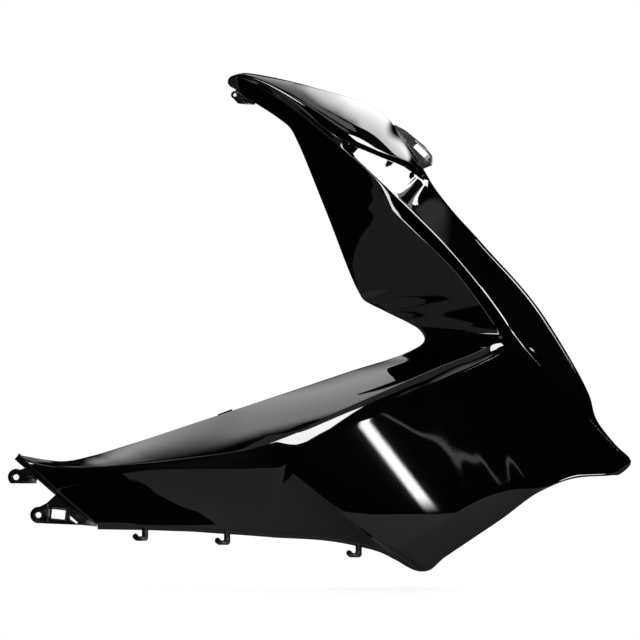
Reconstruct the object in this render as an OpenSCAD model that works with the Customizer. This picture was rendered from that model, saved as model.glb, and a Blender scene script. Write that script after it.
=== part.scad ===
// Right front side panel of a scooter: one injection moulding with a gloss skin.
// Along is +X towards the front wheel, up is +Z, and the outer face looks towards -Y.
// The origin is the hole of the rear upper lug.

/* [Panel] */
// Length, from the rear upper lug's hole to the front corner of the cheek
reach = 772; // [650:1:930]
// Height, from the lowest tip to the top of the hood
height = 626; // [525:1:755]
// Depth, from the crown of the cheek in to the leg edge at the nose
depth = 107; // [90:1:130]
// How far the crown of the cheek stands out from the plane of the rear lugs
crown_out = 36; // [33:0.5:42]
// Wall thickness of the moulding
wall = 2.5; // [2:0.1:3]
// Depth of the hem that is turned in along the leg edge and the front edge
hem = 7; // [5:0.5:10]

/* [Bottom strip and hooks] */
// Height of the joggled strip along the bottom edge
strip_h = 5.5; // [4:0.5:8]
// How far the strip is set in from the side face
strip_step = 3.5; // [3:0.5:6]
// Length of a hook, from the strip down to the bottom of its toe
hook_l = 13; // [10:0.5:18]
// Length of a hook's toe, from the stem to its tip
hook_toe = 11; // [8:0.5:14]
// Width of a hook's stem
hook_stem = 8; // [6:0.5:10]
// Thickness of a hook, across the panel
hook_t = 6; // [4:0.5:9]

/* [Rear lugs] */
// Hole in each rear lug, for an M6 screw
lug_hole = 7; // [5.5:0.5:9]
// Outside diameter of a lug round its hole
lug_d = 21; // [17:0.5:25]
// Thickness of a lug
lug_t = 3; // [2.5:0.5:5]
// Distance of the lower lug's hole towards the front
lower_lug_x = 28; // [24:0.5:32]
// Distance of the lower lug's hole below the upper one
lower_lug_drop = 47.5; // [40:0.5:57]
// Width of the flange that carries the lugs, behind the rear end
end_flange_w = 7; // [5:0.5:9]
// Width of the clip window in the lower lug's plate
window_w = 17; // [14:0.5:19]
// Height of the clip window
window_h = 11.5; // [9:0.5:13]
// Height of the rim round the clip window and of the plate's ribs
plate_rib = 4; // [3:0.5:6]

/* [Nose and front flange] */
// Hole in the nose lug
nose_hole = 4; // [3:0.5:5]
// Outside diameter of the nose lug
nose_lug_d = 10; // [8:0.5:12]
// How far the front flange reaches past the hood's cut edge
front_flange_w = 15; // [12:0.5:20]
// Width of the slot in the front flange
slot_w = 7; // [5:0.5:9]
// Length of the slot in the front flange
slot_l = 22; // [16:0.5:26]

/* [Hidden] */
$fn = 48;
small = 0.01;

// The size that the lines below are drawn at, and the stretch from it to the driving sizes
DRAWN = [772, 107, 626];
stretch = [reach / DRAWN[0], depth / DRAWN[1], height / DRAWN[2]];

// Each line of the panel is a list of [station, along, depth under the crown, up]. Stations run
// from the nose (0) down to the inner corner (13), back along the cheek (23) to the rear end (30).

// The edge next to the rider's leg
leg_line = [
    [-1, 267, 107, 492], [0, 274, 106, 488], [1, 288, 106, 478], [3, 329, 105, 451],
    [4, 343, 104, 439], [5, 354, 103, 418], [7, 387, 101, 337], [9.75, 430, 98, 231],
    [10.25, 436, 95, 222], [11, 462, 84, 208], [12, 494, 70, 192], [12.5, 505, 64, 185],
    [13, 512, 60, 174], [13.5, 508, 60, 166], [14, 498, 61, 160], [17, 414, 70, 131],
    [20, 328, 72, 102], [24, 237, 63, 72], [27, 133, 50, 38], [28, 96, 44, 27],
    [29, 56, 37, 20], [30, 2, 29, 28],
];
// The inner side of the band that follows the ridge
band_line = [
    [-1, 264, 103, 496], [0, 275, 97, 502], [1, 283, 93.5, 500], [2, 312, 82, 484],
    [3, 349, 66, 458], [5, 412, 45, 405], [5.75, 433, 41, 386], [6.25, 446, 39, 366],
    [7, 466, 32, 339], [8, 494, 23.5, 312], [10, 551, 13, 255], [12, 597, 9, 192],
    [12.5, 602, 9, 184], [13, 604, 9.5, 177], [13.5, 601, 10, 171], [14, 591, 10.5, 164],
    [16, 532, 11, 139], [19, 421, 10, 90], [22, 334, 12, 49], [23, 318, 12, 42],
    [24, 296, 13, 36], [27, 181, 15, 21], [28.5, 113, 16, 14], [29.5, 58, 20, 10],
    [30, 28, 23, 4],
];
// The ridge, which is the outermost line of the panel
ridge_line = [
    [-1, 264, 101.5, 499], [0, 276, 95, 505], [1, 285, 91, 502], [2, 314, 79, 486],
    [3, 351, 63, 461], [5, 413, 42, 409], [7, 476, 25, 351], [9, 538, 13, 289],
    [11, 593, 6, 222], [12, 613, 4.5, 193], [12.5, 619, 4, 184], [13, 621, 3.8, 176],
    [13.5, 618, 3.2, 165], [14, 609, 2.6, 157], [15, 581, 1.6, 142], [17, 506, 0.7, 109],
    [18.5, 451, 0.2, 83], [20, 393, 1.3, 57], [21.25, 357, 3, 40], [22, 345, 4, 32],
    [22.5, 341, 4.6, 26], [23, 339, 5.5, 18], [23.25, 333, 6.2, 14], [24, 308, 8, 12],
    [26, 224, 10, 10.5], [27, 181, 11.5, 10], [28, 141, 13, 6], [30, 49, 22, -16],
];
// The lower lip of the hood, then the border of the cheek right round to its rear corner
cheek_line = [
    [-1, 265, 101.5, 502], [0, 278, 94.5, 507], [1, 287, 90, 504], [2, 316, 77, 489],
    [3, 354, 60, 464], [4, 384, 48, 439], [4.5, 400, 42, 428], [5, 417, 38, 421],
    [6, 462, 33, 405], [6.75, 495, 33, 393], [7, 504, 38, 387], [7.5, 518, 44, 368],
    [8, 537, 39, 342], [9, 578, 33, 294], [11, 664, 29, 191], [12, 712, 29, 107],
    [12.5, 727, 31, 65], [12.75, 744, 35, 44], [13, 762, 40, 22], [13.25, 752, 38, 10],
    [14, 699, 27, 2], [15, 653, 19, -14], [15.5, 623, 16.5, -15], [16, 599, 15.5, -21],
    [18, 518, 18.3, -66], [18.75, 482, 21.8, -86], [19, 474, 22.3, -89], [19.25, 464, 21.2, -85],
    [20, 436, 16.9, -66], [21, 393, 10.8, -32], [22, 359, 7.4, -4], [22.5, 346, 6.5, 7],
    [23, 339, 5.5, 18],
];
// The outline: top of the hood, its front cut, the front edge, the wheel arch and the bottom
outline = [
    [-1, 268, 103, 505], [0, 280, 101, 508.5], [1, 293, 99, 508.5], [3, 371, 91, 491],
    [4.75, 453, 84, 462], [5.25, 467, 78, 450], [6, 483, 68, 428], [7, 511, 44, 386],
    [7.5, 524, 47, 364], [8, 543, 42, 339], [9, 584, 36, 293], [11, 671, 32, 187],
    [12, 718, 32, 103], [12.5, 731, 34, 66], [12.75, 751, 38, 41], [13, 771, 43, 20],
    [13.25, 758, 42, 4], [13.5, 746, 39, 2], [14, 709, 30, 0], [15, 662, 25, -15],
    [16.5, 606, 30, -54], [18, 538, 35, -100], [19, 512, 38, -118], [20, 474, 36, -98],
    [20.5, 453, 35, -88], [21, 421, 34, -80], [23, 318, 31.5, -70], [25, 249, 31, -65],
    [26, 221, 30.5, -63], [27, 193, 30, -62], [28, 165, 29, -61], [29, 135, 28.5, -60.5],
    [30, 102, 29, -60],
];
// How far the face between two lines bows out, at stations along the panel
leg_bow = [[-1, 0], [8, 2], [12, 0], [20, 4], [27, 4], [30, 1]];
cheek_bow = [[-1, 0], [7.5, 0], [9, 2], [12, 1], [14, 0], [30, 0]];
outer_bow = [
    [-1, 0], [4.5, 13], [7.25, 0.5], [14, 1], [19, 0.5], [23, 0.5], [25, -2], [26, -2.9],
    [27, -2.6], [28, -2], [29, -0.5], [30, 0],
];
// How deep the skin is tucked in under the lip of the hood
tuck = [[-1, 0], [4.7, 0], [5.5, 15], [6.2, 20], [7, 18], [7.6, 0], [30, 0]];
// Where the cheek's crown is, along and up, and how strongly the cheek is curved both ways
crown_x = 430 * stretch[0];
crown_z = 97 * stretch[2];
crown_bend = [0.000375, 0.00127];
// Where the outline ends in a hem (1) and where in the joggled strip (0)
hem_share = [[-1, 1], [18.75, 1], [19.75, 0], [30, 0]];

// Share of the full wall thickness at stations along the panel: the nose is thinner
wall_share = [[-1, 0.5], [0.5, 0.5], [2.5, 1], [30, 1]];

// Stations of the rows, close together round the corners
stations = concat(
    [-1],
    [for (s = [0:0.5:11]) s],
    [for (s = [11.5:0.25:14.5]) s],
    [for (s = [15:0.5:18]) s],
    [for (s = [18.5:0.25:19.5]) s],
    [for (s = [20:0.5:21.5]) s],
    [for (s = [21.75:0.25:24]) s],
    [for (s = [24.5:0.5:30]) s]
);
cheek_end = 23;
rear_end = 30;
// Stations of the three hooks along the outline
hook_stations = [20.9, 24.5, 28.1];

// How many steps each face is divided into, from one line to the next
LEG_STEPS = 4;
BAND_STEPS = 2;
CHEEK_STEPS = 5;
OUTER_STEPS = 4;

// Number of the last point of a line at or before a station
function span_of(line, s, i = 0) =
    i >= len(line) - 2 || line[i + 1][0] > s ? i : span_of(line, s, i + 1);

// Slope of a line at one of its own points, from the points on both sides
function slope_of(line, i) =
    i == 0 ? (line[1] - line[0]) / (line[1][0] - line[0][0])
    : i == len(line) - 1 ? (line[i] - line[i - 1]) / (line[i][0] - line[i - 1][0])
    : let (before = line[i][0] - line[i - 1][0], after = line[i + 1][0] - line[i][0])
        ((line[i] - line[i - 1]) / before * after + (line[i + 1] - line[i]) / after * before)
            / (before + after);

// Smooth curve through the points of a line, as [station, ...] at any station
function on_line(line, s) =
    let (
        i = span_of(line, s),
        gap = line[i + 1][0] - line[i][0],
        t = (s - line[i][0]) / gap
    )
    (2 * t ^ 3 - 3 * t ^ 2 + 1) * line[i] + (t ^ 3 - 2 * t ^ 2 + t) * gap * slope_of(line, i)
        + (3 * t ^ 2 - 2 * t ^ 3) * line[i + 1] + (t ^ 3 - t ^ 2) * gap * slope_of(line, i + 1);

// Value of a [station, value] table at any station, eased from each entry to the next
function eased(table, s) =
    let (
        i = span_of(table, s),
        t = min(1, max(0, (s - table[i][0]) / (table[i + 1][0] - table[i][0])))
    )
    table[i][1] + (table[i + 1][1] - table[i][1]) * t * t * (3 - 2 * t);

// A point of a line in the panel's own frame
function place(line, s) =
    let (p = on_line(line, s))
    [p[1] * stretch[0], p[2] * stretch[1] - crown_out, p[3] * stretch[2]];

// Points from a to b that bow out towards the viewer, without the last
function bowed(a, b, steps, bow) = [
    for (k = [0:steps - 1])
        let (t = k / steps)
        a + (b - a) * t - [0, 4 * bow * t * (1 - t), 0]
];

// Depth of the cheek's crown at a point, and points from a to b that follow it, without the last
function crown_at(p) = 0.5 * crown_bend[0] * (p[0] - crown_x) ^ 2 + 0.5 * crown_bend[1] * (p[2] - crown_z) ^ 2;

function crowned(a, b, steps, bow, dip) = [
    for (k = [0:steps - 1])
        let (
            t = k / steps,
            p = a + (b - a) * t,
            crown = crown_at(a) * (1 - t) + crown_at(b) * t - crown_at(p)
        )
        p + [0, dip * min(t / 0.8, (1 - t) / 0.2) - crown - 4 * bow * t * (1 - t), 0]
];

// One row across the skin, from the leg hem to the strip under the outline
function row_at(s) =
    let (
        leg = place(leg_line, s),
        band = place(band_line, s),
        ridge = place(ridge_line, s),
        cheek = s < cheek_end ? place(cheek_line, s) : ridge,
        edge = place(outline, s),
        share = eased(hem_share, s),
        first_in = strip_step + (hem / 2 - strip_step) * share,
        last_in = strip_step + (hem - strip_step) * share
    )
    concat(
        [leg + [0, hem, 0]],
        bowed(leg, band, LEG_STEPS, eased(leg_bow, s)),
        bowed(band, ridge, BAND_STEPS, 0.5),
        crowned(ridge, cheek, CHEEK_STEPS, eased(cheek_bow, s), eased(tuck, s)),
        bowed(cheek, edge, OUTER_STEPS, eased(outer_bow, s)),
        [
            edge,
            edge + [0, first_in, 0],
            edge + [0, last_in, -strip_h * (1 - share)],
        ]
    );

skin = [for (s = stations) row_at(s)];
ROWS = len(skin);
COLS = len(skin[0]);
RIDGE_COL = 1 + LEG_STEPS + BAND_STEPS;
CHEEK_COL = RIDGE_COL + CHEEK_STEPS;
clear_reach = 3 * wall;

// Column that a point is stored in: past the cheek's rear corner the cheek's columns close up
function stored(i, j) = stations[i] >= cheek_end && j > RIDGE_COL && j <= CHEEK_COL ? RIDGE_COL : j;

// Number of a point in the polyhedron; side 0 is the outer skin and side 1 the inner one
function point_no(side, i, j) = (side * ROWS + i) * COLS + stored(i, j);

function unit(v) = v / max(norm(v), small / 1000);

// The next column, and the next row, that lie clear of a point, counting by step, so that narrow
// faces turn together
function clear_column(i, j, step, k) =
    k + step < 0 || k + step >= COLS || norm(skin[i][k] - skin[i][j]) > clear_reach ? k
    : clear_column(i, j, step, k + step);

function clear_row(i, j, step, k) =
    k + step < 0 || k + step >= ROWS || norm(skin[k][j] - skin[i][j]) > clear_reach ? k
    : clear_row(i, j, step, k + step);

// Direction that the wall's thickness is measured in at a point of the skin
function outward(i, j) =
    let (
        back_row = skin[i][j] - skin[clear_row(i, j, -1, max(i - 1, 0))][j],
        next_row = skin[clear_row(i, j, 1, min(i + 1, ROWS - 1))][j] - skin[i][j],
        to_left = skin[i][j] - skin[i][clear_column(i, j, -1, max(j - 1, 0))],
        to_right = skin[i][clear_column(i, j, 1, min(j + 1, COLS - 1))] - skin[i][j]
    )
    unit(cross(unit(back_row) + unit(next_row), unit(to_left) + unit(to_right)));

// Two triangles between four points, leaving out those that have closed up
function pair(a, b, c, d) = [
    for (t = [[a, b, c], [a, c, d]])
        if (t[0] != t[1] && t[1] != t[2] && t[2] != t[0]) t
];

// The moulding's wall: the skin, the same skin moved in by the wall, and the rim between them
module wall_skin() {
    points = [
        for (side = [0, 1]) for (i = [0:ROWS - 1]) for (j = [0:COLS - 1])
            skin[i][j] - side * wall * eased(wall_share, stations[i]) * outward(i, stored(i, j))
    ];
    faces = [
        for (i = [0:ROWS - 2]) for (j = [0:COLS - 2])
            each concat(
                pair(point_no(0, i, j), point_no(0, i, j + 1), point_no(0, i + 1, j + 1), point_no(0, i + 1, j)),
                pair(point_no(1, i, j), point_no(1, i + 1, j), point_no(1, i + 1, j + 1), point_no(1, i, j + 1))
            ),
        for (i = [0:ROWS - 2])
            each concat(
                pair(point_no(0, i, 0), point_no(0, i + 1, 0), point_no(1, i + 1, 0), point_no(1, i, 0)),
                pair(point_no(0, i + 1, COLS - 1), point_no(0, i, COLS - 1),
                    point_no(1, i, COLS - 1), point_no(1, i + 1, COLS - 1))
            ),
        for (j = [0:COLS - 2])
            each concat(
                pair(point_no(0, 0, j + 1), point_no(0, 0, j), point_no(1, 0, j), point_no(1, 0, j + 1)),
                pair(point_no(0, ROWS - 1, j), point_no(0, ROWS - 1, j + 1),
                    point_no(1, ROWS - 1, j + 1), point_no(1, ROWS - 1, j))
            ),
    ];
    polyhedron(points, faces);
}

// A flat outline drawn in the along-up plane, made a plate from y_front in to y_front + t
module plate(y_front, t) {
    translate([0, y_front + t, 0]) rotate([90, 0, 0]) linear_extrude(t) children();
}

// Flange that is joggled in behind the rear end: a riser under the skin and a foot in the lugs' plane
module end_flange() {
    top = place(leg_line, rear_end);
    low = place(outline, rear_end);
    chord = unit([low[0] - top[0], 0, low[2] - top[2]]);
    forward = [-chord[2], 0, chord[0]];
    l = norm([low[0] - top[0], low[2] - top[2]]);
    foot_y = lug_t / 2 - 0.3;
    under_skin = [
        for (line = [leg_line, band_line, ridge_line, outline])
            let (p = place(line, rear_end))
            [(p - top) * chord, p[1] + wall / 2]
    ];
    frame = [for (k = [0:2]) [chord[k], k == 1 ? 1 : 0, forward[k], top[k] * (k == 1 ? 0 : 1) + 0.3 * forward[k]]];
    multmatrix(concat(frame, [[0, 0, 0, 1]]))
        linear_extrude(wall)
            polygon(concat(under_skin, [[l, foot_y], [0, foot_y]]));
    foot = [
        for (p = [[0.5, wall], [0.5, -end_flange_w], [0.5 * l, -end_flange_w], [0.62 * l, -2], [l - 1, -1.5], [l - 1, wall]])
            top + chord * p[0] + forward * p[1]
    ];
    plate(-foot_y, 2 * foot_y)
        polygon([for (p = foot) [p[0], p[2]]]);
}

// Upper rear lug, on the end flange
module upper_lug() {
    plate(-lug_t / 2, lug_t)
        difference() {
            union() {
                circle(d = lug_d);
                polygon([[0, 0], [-7, -8], [25, -8], [27, -1], [14, 13], [4, 9]]);
            }
            circle(d = lug_hole);
        }
}

// Lower rear lug: a plate with a clip window in a raised rim, and two upright ribs
module lower_lug() {
    centre = [lower_lug_x, -lower_lug_drop];
    window_at = centre + [25, 1];
    window_tilt = -6;
    rim = 2;
    difference() {
        union() {
            plate(-lug_t / 2, lug_t) {
                translate(centre) circle(d = lug_d);
                polygon(concat(
                    [for (p = [[0, 10], [10, 15], [26, 30], [48, 17.5]]) centre + p],
                    [for (p = [[41, -3], [53, -9.5], [68, -9], [72, -14.5], [53, -12.5], [0, -10.4]]) centre + p]
                ));
            }
            plate(-lug_t / 2 - plate_rib, plate_rib + 1) {
                translate(window_at) rotate(window_tilt)
                    square([window_w + 2 * rim, window_h + 2 * rim], center = true);
                for (rib_x = [10.5, 37.4]) translate(centre + [rib_x, -9]) square([1.6, 22]);
            }
        }
        plate(-lug_t - plate_rib, 2 * lug_t + plate_rib) {
            translate(centre) circle(d = lug_hole);
            translate(window_at) rotate(window_tilt) square([window_w, window_h], center = true);
        }
    }
}

// One hook under the bottom strip, at a station of the outline, with its toe to the rear
module hook(s) {
    top = place(outline, s) + [0, strip_step + 0.4, -strip_h];
    bite = 4;
    half = hook_stem / 2;
    translate([top[0], 0, top[2]])
        plate(top[1], hook_t)
            polygon([
                [-half, bite], [half, bite], [half, 2 - hook_l], [half - 2, -hook_l],
                [3 - half - hook_toe, -hook_l], [-half - hook_toe, 3 - hook_l],
                [-half - hook_toe, 7 - hook_l], [3 - half - hook_toe, 7.5 - hook_l],
                [4 - half - hook_toe, 4.5 - hook_l], [-half, 4.5 - hook_l],
            ]);
}

// Tongue that stands up from the leg hem and lines the panel up with the leg shield
module edge_tongue() {
    rear = place(leg_line, 23.5);
    front = place(leg_line, 22.6);
    rise = 1.8;
    plate((rear[1] + front[1]) / 2 + 2, 2.5)
        polygon([
            [rear[0], rear[2] - 1.8], [rear[0] + 1.5, rear[2] + rise],
            [front[0] - 1.5, front[2] + rise], [front[0], front[2] - 1.8],
        ]);
}

// Small lug under the nose, on the leg hem
module nose_lug() {
    root = place(leg_line, 0);
    hole = [root[0] - 1, root[2] - 6.5];
    plate(root[1] + 1.5, 3)
        difference() {
            union() {
                translate(hole) circle(d = nose_lug_d);
                polygon([for (p = [[-3, 3.5], [4, 8], [27, -8], [25, -12.5], [14, -12], [4, -11], [-3, -3.5]]) hole + p]);
            }
            translate(hole) circle(d = nose_hole);
        }
}

// Flange with a slot behind the hood's front cut, which the front cover slides on to
module front_flange() {
    top = place(outline, 5.25);
    low = place(outline, 7);
    down = unit(low - top);
    ahead = [0.83, 0, 0.56];
    forward = unit(ahead - (ahead * down) * down);
    normal = cross(down, forward);
    l = norm(low - top);
    w = front_flange_w + 3.5;
    setback = 3.6;
    t = 2.5;
    frame = [for (k = [0:2]) [down[k], forward[k], normal[k], top[k] + setback * normal[k] * sign(normal[1])]];
    multmatrix(concat(frame, [[0, 0, 0, 1]]))
        linear_extrude(t, center = true)
            difference() {
                polygon([
                    [8, -6], [10, 0.13 * w], [24, 0.5 * w], [38, 0.7 * w], [l - 28, 0.95 * w], [l - 10, w],
                    [l - 4, 0.8 * w], [l, 0.6 * w], [l - 2, 0.15 * w], [l - 4, -6],
                ]);
                translate([l - 25, 0.56 * w]) rotate(10)
                    square([slot_l, slot_w], center = true);
            }
}

module side_panel() {
    color([0.03, 0.03, 0.035]) {
        wall_skin();
        end_flange();
        upper_lug();
        lower_lug();
        for (s = hook_stations) hook(s);
        edge_tongue();
        nose_lug();
        front_flange();
    }
}

side_panel();
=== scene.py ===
import math
import bmesh
import bpy
import mathutils
import numpy as np
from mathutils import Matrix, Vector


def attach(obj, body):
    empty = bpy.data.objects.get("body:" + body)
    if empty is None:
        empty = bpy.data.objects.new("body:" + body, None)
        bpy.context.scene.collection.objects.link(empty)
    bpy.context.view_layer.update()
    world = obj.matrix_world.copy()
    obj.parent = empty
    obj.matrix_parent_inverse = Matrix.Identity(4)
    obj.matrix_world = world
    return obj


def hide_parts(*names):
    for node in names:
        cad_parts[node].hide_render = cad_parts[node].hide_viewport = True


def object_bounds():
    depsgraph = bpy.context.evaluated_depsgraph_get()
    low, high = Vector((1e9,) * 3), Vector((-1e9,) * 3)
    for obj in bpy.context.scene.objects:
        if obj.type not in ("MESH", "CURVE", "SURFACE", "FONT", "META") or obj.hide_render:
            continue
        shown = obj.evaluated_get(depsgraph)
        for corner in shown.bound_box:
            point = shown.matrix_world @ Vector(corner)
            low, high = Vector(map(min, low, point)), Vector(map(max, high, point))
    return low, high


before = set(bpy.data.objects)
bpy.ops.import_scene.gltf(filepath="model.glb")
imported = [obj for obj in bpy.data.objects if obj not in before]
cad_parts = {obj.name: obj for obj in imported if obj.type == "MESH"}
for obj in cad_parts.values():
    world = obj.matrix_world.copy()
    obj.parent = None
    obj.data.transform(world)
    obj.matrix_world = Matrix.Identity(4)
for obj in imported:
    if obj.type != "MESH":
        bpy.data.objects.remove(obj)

cad_box = [list(corner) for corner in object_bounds()]

# Skin of the panel: one injection moulding in ABS, painted gloss black outside and left as moulded
# inside. Five lines in space carry it: the leg edge, the inner band line, the ridge, the border of
# the cheek and the outline. The faces between them are lofted, and the corners are rounded.
MM = 0.001
WALL = 2.5
# How far the crown of the cheek stands out from the plane of the lugs
CROWN_OUT = 36.0
# The hem turned in round the edges, and the strip that takes its place along the bottom
HEM = 7.0
STRIP_DROP = 5.5
STRIP_STEP = 3.5
STRIP_LEAN = 1.4
# The station from which the cheek's border has run into the ridge
CHEEK_END = 23.0

# Each line is a list of [station, along, depth under the crown, up] in millimetres, as in the frame
LEG_LINE = [
    [-1, 267, 107, 492], [0, 274, 106, 488], [1, 288, 106, 478], [3, 329, 105, 451],
    [4, 343, 104, 439], [5, 354, 103, 418], [7, 387, 101, 337], [9.75, 430, 98, 231],
    [10.25, 436, 95, 222], [11, 462, 84, 208], [12, 494, 70, 192], [12.5, 505, 64, 185],
    [13, 512, 60, 174], [13.5, 508, 60, 166], [14, 498, 61, 160], [17, 414, 70, 131],
    [20, 328, 72, 102], [24, 237, 63, 72], [27, 133, 50, 38], [28, 96, 44, 27],
    [29, 56, 37, 20], [30, 2, 29, 28],
]
BAND_LINE = [
    [-1, 264, 103, 496], [0, 275, 97, 502], [1, 283, 93.5, 500], [2, 312, 82, 484],
    [3, 349, 66, 458], [5, 412, 45, 405], [5.75, 433, 41, 386], [6.25, 446, 39, 366],
    [7, 466, 32, 339], [8, 494, 23.5, 312], [10, 551, 13, 255], [12, 597, 9, 192],
    [12.5, 602, 9, 184], [13, 604, 9.5, 177], [13.5, 601, 10, 171], [14, 591, 10.5, 164],
    [16, 532, 11, 139], [19, 421, 10, 90], [22, 334, 12, 49], [23, 318, 12, 42],
    [24, 296, 13, 36], [27, 181, 15, 21], [28.5, 113, 16, 14], [29.5, 58, 20, 10],
    [30, 28, 23, 4],
]
RIDGE_LINE = [
    [-1, 264, 101.5, 499], [0, 276, 95, 505], [1, 285, 91, 502], [2, 314, 79, 486],
    [3, 351, 63, 461], [5, 413, 42, 409], [7, 476, 25, 351], [9, 538, 13, 289],
    [11, 593, 6, 222], [12, 613, 4.5, 193], [12.5, 619, 4, 184], [13, 621, 3.8, 176],
    [13.5, 618, 3.2, 165], [14, 609, 2.6, 157], [15, 581, 1.6, 142], [17, 506, 0.7, 109],
    [18.5, 451, 0.2, 83], [20, 393, 1.3, 57], [21.25, 357, 3, 40], [22, 345, 4, 32],
    [22.5, 341, 4.6, 26], [23, 339, 5.5, 18], [23.25, 333, 6.2, 14], [24, 308, 8, 12],
    [26, 224, 10, 10.5], [27, 181, 11.5, 10], [28, 141, 13, 6], [30, 49, 22, -16],
]
CHEEK_LINE = [
    [-1, 265, 101.5, 502], [0, 278, 94.5, 507], [1, 287, 90, 504], [2, 316, 77, 489],
    [3, 354, 60, 464], [4, 384, 48, 439], [4.5, 400, 42, 428], [5, 417, 38, 421],
    [6, 462, 33, 405], [6.75, 495, 33, 393], [7, 504, 38, 387], [7.5, 518, 44, 368],
    [8, 537, 39, 342], [9, 578, 33, 294], [11, 664, 29, 191], [12, 712, 29, 107],
    [12.5, 727, 31, 65], [12.75, 744, 35, 44], [13, 762, 40, 22], [13.25, 752, 38, 10],
    [14, 699, 27, 2], [15, 653, 19, -14], [15.5, 623, 16.5, -15], [16, 599, 15.5, -21],
    [18, 518, 18.3, -66], [18.75, 482, 21.8, -86], [19, 474, 22.3, -89], [19.25, 464, 21.2, -85],
    [20, 436, 16.9, -66], [21, 393, 10.8, -32], [22, 359, 7.4, -4], [22.5, 346, 6.5, 7],
    [23, 339, 5.5, 18],
]
OUTLINE = [
    [-1, 268, 103, 505], [0, 280, 101, 508.5], [1, 293, 99, 508.5], [3, 371, 91, 491],
    [4.75, 453, 84, 462], [5.25, 467, 78, 450], [6, 483, 68, 428], [7, 511, 44, 386],
    [7.5, 524, 47, 364], [8, 543, 42, 339], [9, 584, 36, 293], [11, 671, 32, 187],
    [12, 718, 32, 103], [12.5, 731, 34, 66], [12.75, 751, 38, 41], [13, 771, 43, 20],
    [13.25, 758, 42, 4], [13.5, 746, 39, 2], [14, 709, 30, 0], [15, 662, 25, -15],
    [16.5, 606, 30, -54], [18, 538, 35, -100], [19, 512, 38, -118], [20, 474, 36, -98],
    [20.5, 453, 35, -88], [21, 421, 34, -80], [23, 318, 31.5, -70], [25, 249, 31, -65],
    [26, 221, 30.5, -63], [27, 193, 30, -62], [28, 165, 29, -61], [29, 135, 28.5, -60.5],
    [30, 102, 29, -60],
]
# How far each face is bowed out along the stations
LEG_BOW = [[-1, 0], [8, 2], [12, 0], [20, 4], [27, 4], [30, 1]]
CHEEK_BOW = [[-1, 0], [7.5, 0], [9, 0.3], [12, 1], [14, 0], [30, 0]]
# Where the cheek's crown is, along and up, and how strongly the cheek is curved both ways
CROWN = [430.0, 97.0]
CROWN_BEND = [0.000375, 0.00127]
# How deep the skin is tucked in under the lip of the hood, and where across the face it is deepest
TUCK = [[-1, 0], [4.7, 0], [5.5, 6], [6.2, 8], [7, 7], [7.5, 0], [30, 0]]
TUCK_PEAK, TUCK_REST = 0.84, 0.16
OUTER_BOW = [
    [-1, 0], [4.5, 13], [7.25, 0.5], [14, 1], [19, 0.5], [23, 0.5], [24, -0.9], [25, -3],
    [26, -3.2], [27, -2.8], [28, -2], [29, -0.5], [30, 0],
]
# Where the edge has its hem, and where the strip
HEM_SHARE = [[-1, 1], [18.75, 1], [19.75, 0], [30, 0]]


def on_line(line, s):
    """Smooth curve through a line's points, at the stations s, as along, depth and up."""
    knots = np.array(line, float)
    x, values = knots[:, 0], knots[:, 1:]
    gap = np.diff(x)
    rise = np.diff(values, axis=0) / gap[:, None]
    slope = np.empty_like(values)
    slope[0], slope[-1] = rise[0], rise[-1]
    both = (gap[1:] + gap[:-1])[:, None]
    slope[1:-1] = (rise[:-1] * gap[1:, None] + rise[1:] * gap[:-1, None]) / both
    i = np.clip(np.searchsorted(x, s, side="right") - 1, 0, len(gap) - 1)
    t = ((s - x[i]) / gap[i])[:, None]
    h = gap[i][:, None]
    return (
        (2 * t**3 - 3 * t**2 + 1) * values[i] + (t**3 - 2 * t**2 + t) * h * slope[i]
        + (3 * t**2 - 2 * t**3) * values[i + 1] + (t**3 - t**2) * h * slope[i + 1]
    )


def eased(table, s):
    """Value of a [station, value] table at the stations s, eased from each entry to the next."""
    knots = np.array(table, float)
    i = np.clip(np.searchsorted(knots[:, 0], s, side="right") - 1, 0, len(knots) - 2)
    t = np.clip((s - knots[i, 0]) / (knots[i + 1, 0] - knots[i, 0]), 0, 1)
    return knots[i, 1] + (knots[i + 1, 1] - knots[i, 1]) * t * t * (3 - 2 * t)


def smoothed(values, reach):
    """Values along the stations, averaged with a bell curve that is reach rows wide."""
    if reach <= 0:
        return values
    span = int(3 * reach)
    bell = np.exp(-0.5 * (np.arange(-span, span + 1) / reach) ** 2)
    bell /= bell.sum()
    steps = np.arange(1, span + 1)[::-1, None]
    head = 2 * values[0] - values[steps[:, 0]]
    tail = 2 * values[-1] - values[-1 - steps[::-1, 0]]
    padded = np.concatenate([head, values, tail])
    columns = range(values.shape[1])
    return np.stack([np.convolve(padded[:, k], bell, mode="valid") for k in columns], 1)


# The skin's rows: its first and last station, and the rows to a station
FIRST, LAST, PER_STATION = -1, 30, 16
stations = np.arange(FIRST, LAST + 1e-9, 1 / PER_STATION)
# How far the depth is evened out along a line, in stations
LONG_EVEN, SHORT_EVEN = 0.5, 0.2


def row_at(s):
    """The row of the skin at a station."""
    return int(round((s - FIRST) * PER_STATION))


def line_points(line, depth_reach):
    """A line's points at every station, in the panel's own axes."""
    points = on_line(line, stations)
    depth = smoothed(points[:, 1:2], depth_reach * PER_STATION)[:, 0]
    return np.stack([points[:, 0], depth - CROWN_OUT, points[:, 2]], 1)


leg = line_points(LEG_LINE, LONG_EVEN)
band = line_points(BAND_LINE, LONG_EVEN)
ridge = line_points(RIDGE_LINE, LONG_EVEN)
cheek = line_points(CHEEK_LINE, SHORT_EVEN)
edge = line_points(OUTLINE, SHORT_EVEN)
closed = stations >= CHEEK_END


def crown_at(p):
    """Depth of the cheek's own crown at points of the panel."""
    across, up = p[..., 0] - CROWN[0], p[..., 2] - CROWN[1]
    return 0.5 * CROWN_BEND[0] * across ** 2 + 0.5 * CROWN_BEND[1] * up ** 2


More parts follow.
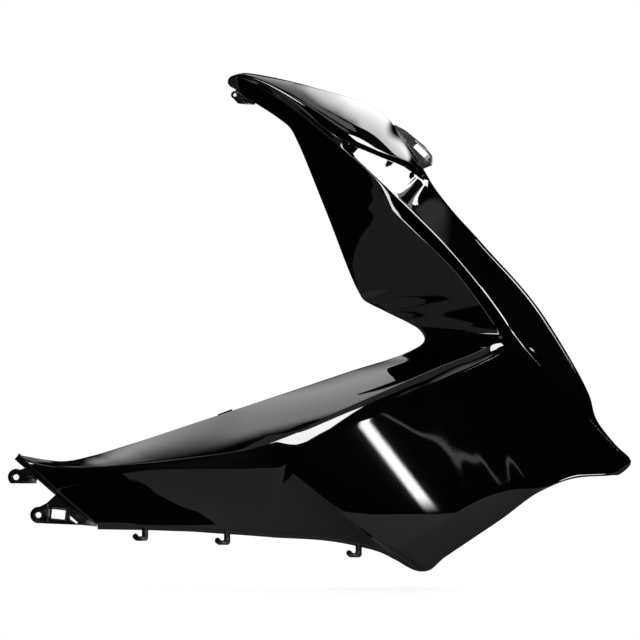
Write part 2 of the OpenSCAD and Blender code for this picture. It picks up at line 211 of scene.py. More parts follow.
# Round the lower tip the cheek lies on its crown, so that no crease runs up from the tip
CROWN_SHARE = [[-1, 0], [16.5, 0], [17.5, 1], [20.5, 1], [21.5, 0], [30, 0]]
on_crown = eased(CROWN_SHARE, stations)
for line in (ridge, cheek):
    line[:, 1] += on_crown * (crown_at(line) - CROWN_OUT - line[:, 1])
cheek[closed] = ridge[closed]

# The face between the ridge and the cheek's border, counted from the hem
CHEEK_FACE = 3
# The share of a face that the rounding of a corner may take
MOST_ROUND = 0.45


def rounded_profile(corners, bows, steps, radius):
    """Points across the panel for every station, through the corners, with bowed faces between
    them and each inner corner rounded over radius on both sides."""
    out = [corners[0][:, None]]
    n = len(corners)
    for k in range(n - 1):
        a, b = corners[k], corners[k + 1]
        length = np.linalg.norm(b - a, axis=1)
        start = np.minimum(radius[k], MOST_ROUND * length) / np.maximum(length, 1e-6)
        end = np.minimum(radius[k + 1], MOST_ROUND * length) / np.maximum(length, 1e-6)
        if k == 0:
            start = start * 0
        if k == n - 2:
            end = end * 0
        share = np.linspace(0, 1, steps[k] + 1)[None, :, None]
        t = start[:, None, None] + (1 - start - end)[:, None, None] * share
        face = a[:, None] + (b - a)[:, None] * t
        face[..., 1] -= 4 * bows[k][:, None] * (t * (1 - t))[..., 0]
        if k == CHEEK_FACE:
            ends = crown_at(a)[:, None] * (1 - t[..., 0]) + crown_at(b)[:, None] * t[..., 0]
            face[..., 1] -= ends - crown_at(face)
            dip = np.minimum(t / TUCK_PEAK, (1 - t) / TUCK_REST)[..., 0]
            face[..., 1] += eased(TUCK, stations)[:, None] * dip
        if k > 0:
            # A rounded corner between the last point of the face before and this one's first
            u = np.array([0.25, 0.5, 0.75])[None, :, None]
            before = out[-1][:, -1:]
            after = face[:, :1]
            out.append((1 - u) ** 2 * before + 2 * u * (1 - u) * a[:, None] + u**2 * after)
            out.append(face)
        else:
            out.append(face[:, 1:])
    return np.concatenate(out, 1)


share = eased(HEM_SHARE, stations)
zero = np.zeros(len(stations))
first_in = STRIP_STEP + (HEM / 2 - STRIP_STEP) * share
last_in = STRIP_STEP + (HEM - STRIP_STEP) * share + STRIP_LEAN * (1 - share)
hem_end = leg + [0, HEM, 0]
step_in = edge + np.stack([zero, first_in, zero], 1)
strip_end = edge + np.stack([zero, last_in, -STRIP_DROP * (1 - share)], 1)
# How far each corner is rounded, and the ridge more where it runs out on the lower arm
HEM_ROUND, BAND_ROUND, BORDER_ROUND, STRIP_ROUND = 0.8, 1.5, 1.2, 0.6
RIDGE_ROUND, RIDGE_WIDER = 1.2, 24
RIDGE_SHARE = [[-1, 0], [22.5, 0], [24.5, 1], [30, 1]]
BAND_BOW = 0.5
ridge_round = RIDGE_ROUND + RIDGE_WIDER * eased(RIDGE_SHARE, stations)
one = np.ones(len(stations))
outer = rounded_profile(
    [hem_end, leg, band, ridge, cheek, edge, step_in, strip_end],
    [zero, eased(LEG_BOW, stations), zero + BAND_BOW, eased(CHEEK_BOW, stations),
     eased(OUTER_BOW, stations), zero, zero],
    [2, 18, 5, 22, 16, 2, 3],
    [one * HEM_ROUND, one * HEM_ROUND, one * BAND_ROUND, ridge_round, one * BORDER_ROUND,
     one * HEM_ROUND, one * STRIP_ROUND, one * STRIP_ROUND],
)

# How far round a point the wall's direction is averaged
REACH = 9.0
# The share of the full wall along the stations, less at the nose
NOSE_WALL = [[-1, 0.5], [0.5, 0.5], [2.5, 1], [30, 1]]


def grid_normals(grid):
    """Directions square to the skin at its points."""
    along = np.gradient(grid, axis=0)
    across = np.gradient(grid, axis=1)
    normal = np.cross(along, across)
    length = np.linalg.norm(normal, axis=2, keepdims=True)
    return normal / np.maximum(length, 1e-9)


def offset_directions(grid):
    """Normals averaged over the faces within reach, so that the inner skin doesn't fold up."""
    normal = grid_normals(grid)
    step = np.linalg.norm(np.diff(grid, axis=1), axis=2)
    place = np.concatenate([np.zeros((len(grid), 1)), np.cumsum(step, axis=1)], axis=1)
    share_of = np.gradient(place, axis=1)[:, None, :] + 1e-6
    near = np.clip(1 - np.abs(place[:, :, None] - place[:, None, :]) / REACH, 0, 1) * share_of
    even = np.einsum("ijk,ikd->ijd", near, normal)
    for _ in range(3):
        even[1:-1] = (even[:-2] + 2 * even[1:-1] + even[2:]) / 4
    return even / np.maximum(np.linalg.norm(even, axis=2, keepdims=True), 1e-9)


thick = (WALL * eased(NOSE_WALL, stations))[:, None, None]
inner = outer - offset_directions(outer) * thick
rows, cols = outer.shape[:2]
count = rows * cols
# The few points that pass the CAD part's box, by about 0.2 mm at most, are set on it
verts = np.clip(np.concatenate([outer.reshape(-1, 3), inner.reshape(-1, 3)]) * MM, *cad_box)
faces, slots = [], []
for i in range(rows - 1):
    for j in range(cols - 1):
        a, d = i * cols + j, (i + 1) * cols + j
        b, c = a + 1, d + 1
        faces += [(a, d, c, b), (a + count, b + count, c + count, d + count)]
        slots += [0, 1]
for i in range(rows - 1):
    a, d = i * cols, (i + 1) * cols
    b, c = a + cols - 1, d + cols - 1
    faces += [(a, a + count, d + count, d), (b, c, c + count, b + count)]
    slots += [1, 1]
last = (rows - 1) * cols
for j in range(cols - 1):
    a, d = j, last + j
    faces += [(a, a + 1, a + 1 + count, a + count), (d, d + count, d + 1 + count, d + 1)]
    slots += [0, 1]


def mended(mesh, gap):
    """Merge a mesh's doubles, up to a gap in metres, and turn its faces outwards."""
    work = bmesh.new()
    work.from_mesh(mesh)
    bmesh.ops.remove_doubles(work, verts=work.verts, dist=gap)
    bmesh.ops.recalc_face_normals(work, faces=work.faces)
    work.to_mesh(mesh)
    work.free()


mesh = bpy.data.meshes.new("panel_skin")
mesh.from_pydata([tuple(v) for v in verts], [], faces)
mesh.polygons.foreach_set("material_index", slots)
mended(mesh, 0.000004)
mesh.polygons.foreach_set("use_smooth", [True] * len(mesh.polygons))
skin = bpy.data.objects.new("panel_skin", mesh)
bpy.context.scene.collection.objects.link(skin)

# Uneven surface that both finishes share: cloudy roughness, and a fine bump of peel or grain
uneven = bpy.data.node_groups.new("uneven_surface", "ShaderNodeTree")
for label, kind, start in (
    ("Vector", "NodeSocketVector", None), ("Patch Scale", "NodeSocketFloat", 14.0),
    ("Grain Scale", "NodeSocketFloat", 400.0), ("Roughness", "NodeSocketFloat", 0.03),
    ("Roughness Range", "NodeSocketFloat", 0.02), ("Grain", "NodeSocketFloat", 0.01),
):
    socket = uneven.interface.new_socket(label, in_out="INPUT", socket_type=kind)
    if start is not None:
        socket.default_value = start
uneven.interface.new_socket("Roughness", in_out="OUTPUT", socket_type="NodeSocketFloat")
uneven.interface.new_socket("Normal", in_out="OUTPUT", socket_type="NodeSocketVector")
un, ul = uneven.nodes, uneven.links
given, result = un.new("NodeGroupInput"), un.new("NodeGroupOutput")
patches, grain = un.new("ShaderNodeTexNoise"), un.new("ShaderNodeTexNoise")
patches.inputs["Detail"].default_value = 5.0
grain.inputs["Detail"].default_value = 2.0
spread, bump = un.new("ShaderNodeMath"), un.new("ShaderNodeBump")
spread.operation = "MULTIPLY_ADD"
bump.inputs["Distance"].default_value = 0.0002
ul.new(given.outputs["Vector"], patches.inputs["Vector"])
ul.new(given.outputs["Vector"], grain.inputs["Vector"])
ul.new(given.outputs["Patch Scale"], patches.inputs["Scale"])
ul.new(given.outputs["Grain Scale"], grain.inputs["Scale"])
ul.new(patches.outputs["Fac"], spread.inputs[0])
ul.new(given.outputs["Roughness Range"], spread.inputs[1])
ul.new(given.outputs["Roughness"], spread.inputs[2])
ul.new(grain.outputs["Fac"], bump.inputs["Height"])
ul.new(given.outputs["Grain"], bump.inputs["Strength"])
ul.new(spread.outputs["Value"], result.inputs["Roughness"])
ul.new(bump.outputs["Normal"], result.inputs["Normal"])


def finish_of(name, colour, patch_scale, grain_scale, roughness, spread_by, grain_height):
    """A plastic finish over the shared uneven surface."""
    made = bpy.data.materials.new(name)
    made.use_nodes = True
    nodes, links = made.node_tree.nodes, made.node_tree.links
    shader = nodes["Principled BSDF"]
    shader.inputs["Base Color"].default_value = (*colour, 1)
    shader.inputs["IOR"].default_value = 1.5
    where = nodes.new("ShaderNodeTexCoord")
    group = nodes.new("ShaderNodeGroup")
    group.node_tree = uneven
    group.inputs["Patch Scale"].default_value = patch_scale
    group.inputs["Grain Scale"].default_value = grain_scale
    group.inputs["Roughness"].default_value = roughness
    group.inputs["Roughness Range"].default_value = spread_by
    group.inputs["Grain"].default_value = grain_height
    links.new(where.outputs["Object"], group.inputs["Vector"])
    links.new(group.outputs["Roughness"], shader.inputs["Roughness"])
    links.new(group.outputs["Normal"], shader.inputs["Normal"])
    return made


gloss = finish_of("gloss_black_paint", (0.0015, 0.0015, 0.0018), 9.0, 260.0, 0.012, 0.03, 0.012)
satin = finish_of("moulded_black", (0.006, 0.006, 0.0065), 20.0, 1400.0, 0.1, 0.1, 0.15)
mesh.materials.append(gloss)
mesh.materials.append(satin)
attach(skin, "root")
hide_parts("side_panel")

# Upper rear lug: a plate of the same black plastic round an M6 hole, left as moulded. It is moulded
# in one with the panel and joined to it by the end flange
LUG_R, LUG_HOLE, LUG_T = 10.5, 3.5, 3.0


def arc(x, y, radius, start, end, steps=40):
    """Points of an arc, counted anticlockwise in degrees."""
    turns = np.radians(np.linspace(start, end, steps + 1))
    return [(x + radius * math.cos(t), y + radius * math.sin(t)) for t in turns]


def softened(points, radius, centre=(0, 0)):
    """An outline with its corners rounded."""
    out = []
    n = len(points)
    for k in range(n):
        before, corner, after = (np.array(points[(k + d) % n], float) + centre for d in (-1, 0, 1))
        lead, tail = (
            corner + (far - corner) * min(MOST_ROUND, radius / max(np.linalg.norm(far - corner), 1e-6))
            for far in (before, after)
        )
        for t in (0, 0.5, 1):
            out.append(tuple((1 - t) ** 2 * lead + 2 * t * (1 - t) * corner + t * t * tail))
    return out


def moulded(name, loops, depth, edge_round, to_panel):
    """A plate with rounded edges from its outline and holes; to_panel places its points."""
    curve = bpy.data.curves.new(name, "CURVE")
    curve.dimensions = "2D"
    curve.fill_mode = "BOTH"
    curve.extrude = depth / 2 - edge_round
    curve.bevel_depth = edge_round
    curve.bevel_resolution = 2
    curve.offset = -edge_round
    for loop in loops:
        spline = curve.splines.new("POLY")
        spline.points.add(len(loop) - 1)
        spline.points.foreach_set("co", [v for x, y in loop for v in (x, y, 0, 1)])
        spline.use_cyclic_u = True
    draft = bpy.data.objects.new(name, curve)
    bpy.context.scene.collection.objects.link(draft)
    ready = draft.evaluated_get(bpy.context.evaluated_depsgraph_get())
    plate_mesh = bpy.data.meshes.new_from_object(ready)
    bpy.data.objects.remove(draft)
    points = np.array([v.co[:] for v in plate_mesh.vertices])
    placed = np.array([to_panel(p) for p in points]) * MM
    plate_mesh.vertices.foreach_set("co", placed.ravel())
    mended(plate_mesh, 0.000002)
    plate_mesh.name = name
    plate_mesh.polygons.foreach_set("use_smooth", [True] * len(plate_mesh.polygons))
    plate_mesh.set_sharp_from_angle(angle=math.radians(40))
    plate_mesh.materials.clear()
    plate_mesh.materials.append(satin)
    piece = bpy.data.objects.new(name, plate_mesh)
    bpy.context.scene.collection.objects.link(piece)
    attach(piece, "root")
    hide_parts("side_panel")
    return piece


def upright(p):
    """A drawn point in the plane of the lugs."""
    return (p[0], -p[2], p[1])


moulded(
    "upper_lug",
    [arc(0, 0, LUG_R, 62.7, 228.8) + [(25, -8), (27, -1), (14, 13)],
     arc(0, 0, LUG_HOLE, 0, 351, 39)],
    LUG_T, 0.4, upright,
)

# Lower rear lug: a plate with an M6 hole, a clip window in a raised rim and two upright ribs, in
# bare black plastic, moulded in one with the panel
LOWER = (28.0, -47.5)
PLATE_OUTLINE = [(53, -12.5), (74, -14.5), (66, 0), (50, 16), (26, 30), (10, 15)]
# The thin gap between the plate and the panel's rear end
PLATE_GAP = [(67.5, -48.5), (77.5, -57.2), (75.3, -57.8), (67.8, -52.8)]
WINDOW_AT = (LOWER[0] + 25, LOWER[1] + 1)
HALF_W, HALF_H, RIM_W = 8.5, 5.75, 2.0
TILT = math.radians(-6)
# Ribs and rim stand out from the plate and are sunk 1 mm into it
RIB_H, RIB_SUNK = 4.0, 1
RIB_PLACES, RIB_W, RIB_LOW, RIB_TOP = (10.5, 37.4), 1.6, -9, 13


def window(half_w, half_h, radius):
    """Outline of the clip window, which leans with the plate."""
    corners = [(-half_w, -half_h), (half_w, -half_h), (half_w, half_h), (-half_w, half_h)]
    c, s = math.cos(TILT), math.sin(TILT)
    return softened([(x * c - y * s, x * s + y * c) for x, y in corners], radius, WINDOW_AT)


def from_lug(points):
    """Points that are given from the lower lug's hole."""
    return [(x + LOWER[0], y + LOWER[1]) for x, y in points]


def raised(p):
    """A drawn point in the middle of the ribs' height."""
    return (p[0], rib_middle - p[2], p[1])


moulded(
    "lower_lug",
    [arc(*LOWER, LUG_R, 85, 278) + from_lug(PLATE_OUTLINE), arc(*LOWER, LUG_HOLE, 0, 351, 39),
     window(HALF_W, HALF_H, 0.8), PLATE_GAP],
    LUG_T, 0.4, upright,
)
rib_middle = -LUG_T / 2 - (RIB_H - RIB_SUNK) / 2
moulded(
    "window_rim",
    [window(HALF_W + RIM_W, HALF_H + RIM_W, 1.5), window(HALF_W, HALF_H, 0.8)],
    RIB_H + RIB_SUNK, 0.35, raised,
)
for number, rib_x in enumerate(RIB_PLACES):
    far_x = rib_x + RIB_W
    rib = from_lug([(rib_x, RIB_LOW), (far_x, RIB_LOW), (far_x, RIB_TOP), (rib_x, RIB_TOP)])
    moulded("plate_rib_%d" % (number + 1), [rib], RIB_H + RIB_SUNK, 0.3, raised)

# End flange: a foot in the plane of the lugs and a riser up to the skin's rear end, in bare black
# plastic, moulded in one with the panel and the lugs
FOOT_T = 2.4
RISER_FOOT = 1.2
top, low = leg[-1], edge[-1]
chord = np.array([low[0] - top[0], 0, low[2] - top[2]])
long = np.linalg.norm(chord)
chord /= long
ahead = np.array([-chord[2], 0, chord[0]])
foot = [
    (0.5, WALL), (0.5, -7), (0.5 * long, -7), (0.62 * long, -2), (long - 1, -1.5), (long - 1, WALL),
]
moulded(
    "end_foot",
    [[(top[0] + chord[0] * a + ahead[0] * b, top[2] + chord[2] * a + ahead[2] * b) for a, b in foot]],
    FOOT_T, 0.3, upright,
)
under = [((line[-1] - top) @ chord, line[-1][1] + WALL / 2) for line in (leg, band, ridge, edge)]
moulded(
    "end_riser", [under + [(long, RISER_FOOT), (0, RISER_FOOT)]], WALL, 0.2,
    lambda p: top * (1, 0, 1) + chord * p[0] + (0, p[1], 0) + ahead * (0.3 + WALL / 2 + p[2]),
)

# Hooks under the bottom strip, in bare black plastic, moulded on. One hook is drawn, and a Geometry
# Nodes group sets it at each place along the strip
HOOK_T = 6.0
HOOK_STATIONS = (20.9, 24.5, 28.1)
HOOK_OUT = 0.4
hook_outline = softened(
    [(-4, 4), (4, 4), (4, -11), (1.5, -13.5), (-11, -13.5), (-15.5, -10), (-15.5, -6),
     (-12.5, -3.8), (-9.5, -4.6), (-7.5, -7.6), (-4, -7.8)], 1.2
)
hook = moulded("hook_drawn", [hook_outline], HOOK_T, 0.5, lambda p: (p[0], HOOK_T / 2 - p[2], p[1]))
spots = [
    (edge[row_at(s)] + [0, STRIP_STEP + HOOK_OUT, -STRIP_DROP]) * MM for s in HOOK_STATIONS
]
spot_mesh = bpy.data.meshes.new("hooks")
spot_mesh.from_pydata([tuple(p) for p in spots], [], [])
hooks = bpy.data.objects.new("hooks", spot_mesh)
bpy.context.scene.collection.objects.link(hooks)
row = bpy.data.node_groups.new("hook_row", "GeometryNodeTree")
row.interface.new_socket("Geometry", in_out="INPUT", socket_type="NodeSocketGeometry")
ids = {
    label: row.interface.new_socket(label, in_out="INPUT", socket_type=kind).identifier
    for label, kind in (
        ("Hook", "NodeSocketObject"), ("Size", "NodeSocketFloat"), ("Material", "NodeSocketMaterial"),
    )
}
row.interface.new_socket("Geometry", in_out="OUTPUT", socket_type="NodeSocketGeometry")
given, result = row.nodes.new("NodeGroupInput"), row.nodes.new("NodeGroupOutput")
drawn = row.nodes.new("GeometryNodeObjectInfo")
points_of = row.nodes.new("GeometryNodeInstanceOnPoints")
real = row.nodes.new("GeometryNodeRealizeInstances")
painted = row.nodes.new("GeometryNodeSetMaterial")
row.links.new(given.outputs["Hook"], drawn.inputs["Object"])
row.links.new(given.outputs["Geometry"], points_of.inputs["Points"])
row.links.new(drawn.outputs["Geometry"], points_of.inputs["Instance"])
row.links.new(given.outputs["Size"], points_of.inputs["Scale"])
row.links.new(points_of.outputs["Instances"], real.inputs["Geometry"])
row.links.new(real.outputs["Geometry"], painted.inputs["Geometry"])
row.links.new(given.outputs["Material"], painted.inputs["Material"])
row.links.new(painted.outputs["Geometry"], result.inputs["Geometry"])
live = hooks.modifiers.new("hook_row", "NODES")
live.node_group = row
live[ids["Hook"]] = hook
live[ids["Size"]] = 1.0
live[ids["Material"]] = satin
bpy.context.view_layer.update()
ready = hooks.evaluated_get(bpy.context.evaluated_depsgraph_get())
hooks_mesh = bpy.data.meshes.new_from_object(ready)
hooks.modifiers.remove(live)
hooks.data = hooks_mesh
bpy.data.objects.remove(hook)
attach(hooks, "root")
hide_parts("side_panel")

# Tongue on the leg hem that lines the panel up with the leg shield: a low tab with slanted ends in
# bare black plastic, moulded on
TONGUE_STATIONS = (23.5, 22.6)
TONGUE_H, TONGUE_SLANT, TONGUE_T, TONGUE_IN = 1.8, 1.5, 2.5, 3.25
rear_at, front_at = (leg[row_at(s)] for s in TONGUE_STATIONS)
tongue_y = (rear_at[1] + front_at[1]) / 2 + TONGUE_IN
moulded(
    "edge_tongue",
    [[(rear_at[0], rear_at[2] - TONGUE_H), (rear_at[0] + TONGUE_SLANT, rear_at[2] + TONGUE_H),
      (front_at[0] - TONGUE_SLANT, front_at[2] + TONGUE_H), (front_at[0], front_at[2] - TONGUE_H)]],
    TONGUE_T, 0.3, lambda p: (p[0], tongue_y - p[2], p[1]),
)

# Nose lug: a small plate with a 4 mm hole under the nose, in bare black plastic, moulded on the
# leg hem
NOSE, NOSE_R, NOSE_HOLE, NOSE_T = (273.0, 481.5), 5, 2, 3.0
NOSE_ROOT = [(4, -11), (14, -12), (25, -12.5), (27, -8), (4, 8)]
nose_y = leg[row_at(0)][1] + NOSE_T
moulded(
    "nose_lug",
    [arc(*NOSE, NOSE_R, 98.7, 246.7, 24) + [(x + NOSE[0], y + NOSE[1]) for x, y in NOSE_ROOT],
     arc(*NOSE, NOSE_HOLE, 0, 345, 23)],
    NOSE_T, 0.3, lambda p: (p[0], nose_y - p[2], p[1]),
)

# Front flange: a plate with a slot behind the hood's cut edge, which the front cover slides on to.
# It is bare black plastic, moulded in one with the panel
FLANGE_W, FLANGE_T, FLANGE_GAP = 18.5, 2.5, 3.6
SLOT_HALF_W, SLOT_HALF_H, SLOT_BACK, SLOT_TURN = 11, 3.5, 25, math.radians(10)
top, low = (edge[row_at(s)] for s in (5.25, 7))
down = low - top
long = np.linalg.norm(down)
down /= long
forward = np.array([0.83, 0, 0.56])
forward -= (forward @ down) * down
forward /= np.linalg.norm(forward)
square = np.cross(down, forward)
start = top + square * FLANGE_GAP * np.sign(square[1])
w = FLANGE_W
flange = softened(
    [(8, -6), (10, 0.13 * w), (24, 0.5 * w), (38, 0.7 * w), (long - 28, 0.95 * w), (long - 10, w),
     (long - 4, 0.8 * w), (long, 0.6 * w), (long - 2, 0.15 * w), (long - 4, -6)], 1.2
)
c, s = math.cos(SLOT_TURN), math.sin(SLOT_TURN)
slot_at = np.array([
    (-SLOT_HALF_W, -SLOT_HALF_H), (SLOT_HALF_W, -SLOT_HALF_H),
    (SLOT_HALF_W, SLOT_HALF_H), (-SLOT_HALF_W, SLOT_HALF_H),
]) @ np.array([[c, s], [-s, c]])
moulded(
    "front_flange",
    [flange, softened([tuple(p) for p in slot_at], 1.5, (long - SLOT_BACK, 0.56 * w))],
    FLANGE_T, 0.4, lambda p: start + down * p[0] + forward * p[1] + square * p[2],
)

# Studio: a camera square to the panel, softboxes that only the gloss sees, plain lights for all
# the rest, black flags round it all, and a pale table before a white backdrop
camera_data = bpy.data.cameras.new("camera")
camera = bpy.data.objects.new("camera", camera_data)
bpy.context.scene.collection.objects.link(camera)
bpy.context.scene.camera = camera
# Millimetres to a pixel, and the upper lug's hole and the middle of the picture in pixels
PIXEL, LUG_PX, MIDDLE_PX = 1.25, (15.5, 477.5), 320
FRAME_WIDTH = 0.8
DISTANCE = 8.0
# The lens is set for the plane of the panel's outer face
FACE_OUT = 0.02
centre = ((MIDDLE_PX - LUG_PX[0]) * PIXEL * MM, (LUG_PX[1] - MIDDLE_PX) * PIXEL * MM)
camera.location = (centre[0], -DISTANCE, centre[1])
camera.rotation_euler = (math.pi / 2, 0, 0)
camera_data.sensor_width = 36
camera_data.lens = 36 * (DISTANCE - FACE_OUT) / FRAME_WIDTH
camera_data.clip_end = 100

# The soft edges of a softbox, as a mask over its face. An edge that is hard still fades a little
HARD = 0.001
soft_edges = bpy.data.node_groups.new("softbox_edges", "ShaderNodeTree")
for label, least in (
    ("Soft Left", HARD), ("Soft Right", HARD), ("Soft Front", HARD), ("Soft Back", HARD),
    ("Least Left", 0.0),
):
    socket = soft_edges.interface.new_socket(label, in_out="INPUT", socket_type="NodeSocketFloat")
    socket.default_value = least
soft_edges.interface.new_socket("Mask", in_out="OUTPUT", socket_type="NodeSocketFloat")
bn, bl = soft_edges.nodes, soft_edges.links
given, result = bn.new("NodeGroupInput"), bn.new("NodeGroupOutput")
where, parts = bn.new("ShaderNodeTexCoord"), bn.new("ShaderNodeSeparateXYZ")
bl.new(where.outputs["Generated"], parts.inputs["Vector"])
so_far = None
for axis, label, far_side in (
    ("X", "Soft Left", False), ("X", "Soft Right", True),
    ("Y", "Soft Front", False), ("Y", "Soft Back", True),
):
    fade, times = bn.new("ShaderNodeMapRange"), bn.new("ShaderNodeMath")
    fade.interpolation_type = "SMOOTHSTEP"
    times.operation = "MULTIPLY"
    across = parts.outputs[axis]
    if far_side:
        turned = bn.new("ShaderNodeMath")
        turned.operation = "SUBTRACT"
        turned.inputs[0].default_value = 1.0
        bl.new(across, turned.inputs[1])
        across = turned.outputs["Value"]
    bl.new(across, fade.inputs["Value"])
    bl.new(given.outputs[label], fade.inputs["From Max"])
    if label == "Soft Left":
        bl.new(given.outputs["Least Left"], fade.inputs["To Min"])
    times.inputs[0].default_value = 1.0
    if so_far:
        bl.new(so_far, times.inputs[0])
    bl.new(fade.outputs["Result"], times.inputs[1])
    so_far = times.outputs["Value"]
bl.new(so_far, result.inputs["Mask"])


def stage_card(name, corners, material):
    """A flat card of the studio, which stays out of the picture."""
    card_mesh = bpy.data.meshes.new(name)
    card_mesh.from_pydata(corners, [], [tuple(range(len(corners)))])
    card_mesh.materials.append(material)
    made = bpy.data.objects.new(name, card_mesh)
    bpy.context.scene.collection.objects.link(made)
    made.visible_camera = False
    return made


def softbox(name, size, radiance, soft, place, turned, least=0.0):
    """A glowing card; soft is the share that fades at its left, right, front and back edge."""
    glow = bpy.data.materials.new(name)
    glow.use_nodes = True
    nodes, links = glow.node_tree.nodes, glow.node_tree.links
    nodes.remove(nodes["Principled BSDF"])
    light, group = nodes.new("ShaderNodeEmission"), nodes.new("ShaderNodeGroup")
    group.node_tree = soft_edges
    for side, share_soft in zip(("Left", "Right", "Front", "Back"), soft):
        group.inputs["Soft " + side].default_value = max(share_soft, HARD)
    group.inputs["Least Left"].default_value = least
    light.inputs["Strength"].default_value = radiance
    links.new(group.outputs["Mask"], light.inputs["Color"])
    links.new(light.outputs["Emission"], nodes["Material Output"].inputs["Surface"])
    a, b = size[0] / 2, size[1] / 2
    made = stage_card(name, [(-a, -b, 0), (a, -b, 0), (a, b, 0), (-a, b, 0)], glow)
    made.location = place
    made.rotation_euler = turned
    made.visible_diffuse = False
    made.visible_shadow = False
    return made


MIDDLE = np.array([0.38, 0.0, 0.19])
ALL_SOFT = (0.2, 0.2, 0.2, 0.2)


def overhead(name, left, right, front, back, radiance, soft=(0, 0, 0, 0), height=3.0, least=0.0):
    """A flat softbox over the panel, with its edges as slopes seen from the panel's middle."""
    along, deep = (left + right) / 2 * height, (front + back) / 2 * height
    size = ((right - left) * height, (back - front) * height)
    place = (MIDDLE[0] + along, deep, MIDDLE[2] + height)
    return softbox(name, size, radiance, soft, place, (0, 0, 0), least)


def card(name, direction, size, radiance, soft=(0, 0, 0, 0), reach=4.0, roll=0.0):
    """A softbox that faces the panel from a direction, with its size as seen from there."""
    way = mathutils.Vector(direction).normalized()
    rolled = mathutils.Quaternion((0, 0, 1), math.radians(roll))
    turned = (way.to_track_quat("Z", "Y") @ rolled).to_euler()
    place = MIDDLE + np.array(way) * reach
    return softbox(name, (size[0] * reach, size[1] * reach), radiance, soft, place, turned)


# Over the panel: the faces that look up mirror these
overhead("ceiling_left", -0.53, -0.19, -0.25, 1.0, 3.5, (0.0, 0.44, 0.2, 0.4))
overhead("hood_fill", -0.05, 0.17, -0.6, 1.15, 1.9)
overhead("ceiling_right", 0.17, 0.8, -0.24, 1.15, 11.5, (0.24, 0.3, 0.03, 0.2), 3.0, 0.165)
overhead("cheek_glow", 0.58, 0.86, -0.74, -0.5, 0.6, (0.3, 0.3, 0.3, 0.3))
# In front: dim cards for the hood's roll and the arm, bright ones for the patch under the hood
card("front_top", (-0.4, -0.4, 0.85), (0.3, 0.3), 0.4)
card("roll_fill", (-0.152, -0.611, 0.777), (0.3, 0.18), 1.7, ALL_SOFT)
card("side_fill", (-0.70, -0.70, 0.07), (0.2, 0.26), 1.5, ALL_SOFT)
card("hood_key_left", (0.108, -0.839, 0.533), (0.42, 0.335), 25.0)
card("hood_key_middle", (0.409, -0.6475, 0.643), (0.3, 0.17), 25.0)
card("hood_key_low", (0.4774, -0.7551, 0.4493), (0.54, 0.34), 25.0)
card("hood_key_dim", (0.384, -0.596, 0.705), (0.13, 0.07), 3.6)
# To the left: bright cards for the thin white lines, and dim ones beside them
card("lamp_top", (-0.414, -0.645, 0.643), (0.11, 0.3), 22.0, roll=14.0)
card("lamp_left", (-0.745, -0.56, -0.33), (0.13, 0.16), 18.0)
card("lamp_left_low", (-0.66, -0.64, -0.40), (0.06, 0.12), 3.0)
card("left_far", (-0.928, -0.338, -0.156), (0.3, 0.36), 0.38)
# Low in front: a tube lamp and a fainter one, which the cheek mirrors as slanted lines
for name, size, radiance, soft, place, lean in (
    ("strip", (0.1, 1.6), 26.0, (0.3, 0.3, 0.2, 0.02), (0.66, -4.0, -0.9), 16.5),
    ("thin_strip", (0.03, 1.7), 1.2, (0.3, 0.3, 0.1, 0.1), (0.98, -4.02, -0.73), 34),
):
    softbox(name, size, radiance, soft, place, (math.pi / 2, -math.radians(lean), 0))

black = bpy.data.materials.new("flag_black")
black.use_nodes = True
flag = black.node_tree.nodes["Principled BSDF"]
flag.inputs["Base Color"].default_value = (0.01, 0.01, 0.01, 1)
flag.inputs["Roughness"].default_value = 0.9
west, east, south, north, bottom, roof = -5.0, 5.8, -5.0, 4.2, -5.0, 5.5
south_west, south_east, north_east, north_west = (
    (west, south), (east, south), (east, north), (west, north)
)
for name, a, b in (
    ("flag_front", south_west, south_east), ("flag_back", north_west, north_east),
    ("flag_left", south_west, north_west), ("flag_right", south_east, north_east),
):
    stage_card(name, [(*a, bottom), (*b, bottom), (*b, roof), (*a, roof)], black)
for name, z in (("flag_over", roof), ("flag_under", bottom)):
    stage_card(name, [(*a, z) for a in (south_west, south_east, north_east, north_west)], black)


def plain_light(name, place, size, radiance, mirrored=False):
    """A large plain light for the matt surfaces, which the gloss mirrors only if asked."""
    data = bpy.data.lights.new(name, "AREA")
    data.shape = "RECTANGLE"
    data.size, data.size_y = size
    data.energy = radiance * math.pi * size[0] * size[1]
    lamp = bpy.data.objects.new(name, data)
    bpy.context.scene.collection.objects.link(lamp)
    lamp.location = place
    away = mathutils.Vector(place) - mathutils.Vector(MIDDLE)
    lamp.rotation_euler = away.to_track_quat("Z", "Y").to_euler()
    lamp.visible_camera = False
    lamp.visible_glossy = mirrored


plain_light("plain_over", (0.4, 0.3, 3.4), (3.5, 3.0), 1.3)
plain_light("plain_front", (-1.6, -3.6, 2.2), (2.5, 2.5), 1.6)
plain_light("plain_back", (2.6, 3.6, 1.5), (2.0, 1.8), 4.0, True)


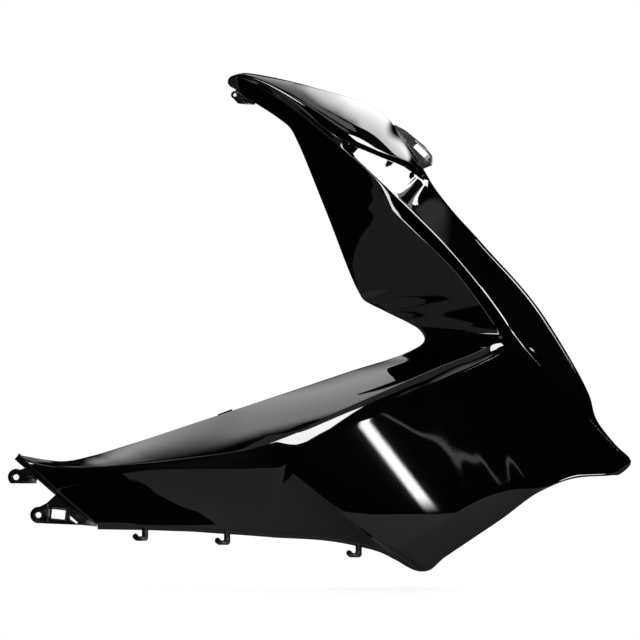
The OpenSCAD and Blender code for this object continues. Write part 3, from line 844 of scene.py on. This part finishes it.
def pale(name, colour, camera_glow, gloss_glow):
    """A pale matt board that reads white in the picture and keeps its shadows."""
    made = bpy.data.materials.new(name)
    made.use_nodes = True
    nodes, links = made.node_tree.nodes, made.node_tree.links
    board = nodes["Principled BSDF"]
    board.inputs["Base Color"].default_value = (*colour, 1)
    board.inputs["Roughness"].default_value = 0.7
    board.inputs["Emission Color"].default_value = (1, 1, 1, 1)
    rays, lit = nodes.new("ShaderNodeLightPath"), nodes.new("ShaderNodeMath")
    seen, total = nodes.new("ShaderNodeMath"), nodes.new("ShaderNodeMath")
    lit.operation, seen.operation, total.operation = "MAXIMUM", "MULTIPLY", "MULTIPLY_ADD"
    links.new(rays.outputs["Is Glossy Ray"], lit.inputs[0])
    links.new(rays.outputs["Is Transmission Ray"], lit.inputs[1])
    links.new(lit.outputs["Value"], seen.inputs[0])
    seen.inputs[1].default_value = gloss_glow
    links.new(rays.outputs["Is Camera Ray"], total.inputs[0])
    total.inputs[1].default_value = camera_glow
    links.new(seen.outputs["Value"], total.inputs[2])
    links.new(total.outputs["Value"], board.inputs["Emission Strength"])
    return made


def flat_board(name, corners, material):
    """A flat board of the studio, which shows in the picture."""
    board_mesh = bpy.data.meshes.new(name)
    board_mesh.from_pydata(corners, [], [tuple(range(len(corners)))])
    board_mesh.materials.append(material)
    board = bpy.data.objects.new(name, board_mesh)
    bpy.context.scene.collection.objects.link(board)
    return board


# The table's front edge is shaped, because the faces that look down mirror it. The wing beside it
# is there for them too, and stays out of the picture
TABLE_Z = -0.1375
TABLE_EDGE = [
    (-0.05, -0.185), (0.17, -0.198), (0.24, -0.225), (0.29, -0.27), (0.38, -0.27), (0.45, -0.245),
    (1.8, -0.245), (1.8, 2.0), (-0.05, 2.0),
]
WING_EDGE = [
    (-0.05, -0.1), (-0.05, -0.19), (0.02, -0.2), (0.02, -0.4), (-0.05, -0.55), (-3, -0.55),
    (-3, -0.3), (-0.7, -0.17), (-0.6, -0.1),
]
flat_board(
    "table", [(x, y, TABLE_Z) for x, y in TABLE_EDGE],
    pale("table_white", (0.48, 0.48, 0.48), 0.72, 0.02),
)
wing = bpy.data.materials.new("table_wing")
wing.use_nodes = True
board = wing.node_tree.nodes["Principled BSDF"]
board.inputs["Base Color"].default_value = (0.5, 0.5, 0.5, 1)
board.inputs["Roughness"].default_value = 0.7
stage_card("table_wing", [(x, y, TABLE_Z) for x, y in WING_EDGE], wing)
backdrop = flat_board(
    "backdrop", [(-1.4, 2.0, -0.3), (2.4, 2.0, -0.3), (2.4, 2.0, 0.8), (-1.4, 2.0, 0.8)],
    pale("backdrop_white", (0.6, 0.6, 0.6), 1.0, 0.8),
)
# The white world shows in its place, so that the panel can also be looked at from behind
backdrop.visible_camera = False

# White where the camera, gloss or glass sees it, and no light on matt surfaces
world = bpy.data.worlds.new("world")
bpy.context.scene.world = world
world.use_nodes = True
wn, wl = world.node_tree.nodes, world.node_tree.links
background = wn["Background"]
background.inputs["Color"].default_value = (1, 1, 1, 1)
ray = wn.new("ShaderNodeLightPath")
first, second = wn.new("ShaderNodeMath"), wn.new("ShaderNodeMath")
first.operation = second.operation = "MAXIMUM"
wl.new(ray.outputs["Is Camera Ray"], first.inputs[0])
wl.new(ray.outputs["Is Glossy Ray"], first.inputs[1])
wl.new(first.outputs["Value"], second.inputs[0])
wl.new(ray.outputs["Is Transmission Ray"], second.inputs[1])
wl.new(second.outputs["Value"], background.inputs["Strength"])

bpy.context.scene.view_settings.view_transform = "Standard"
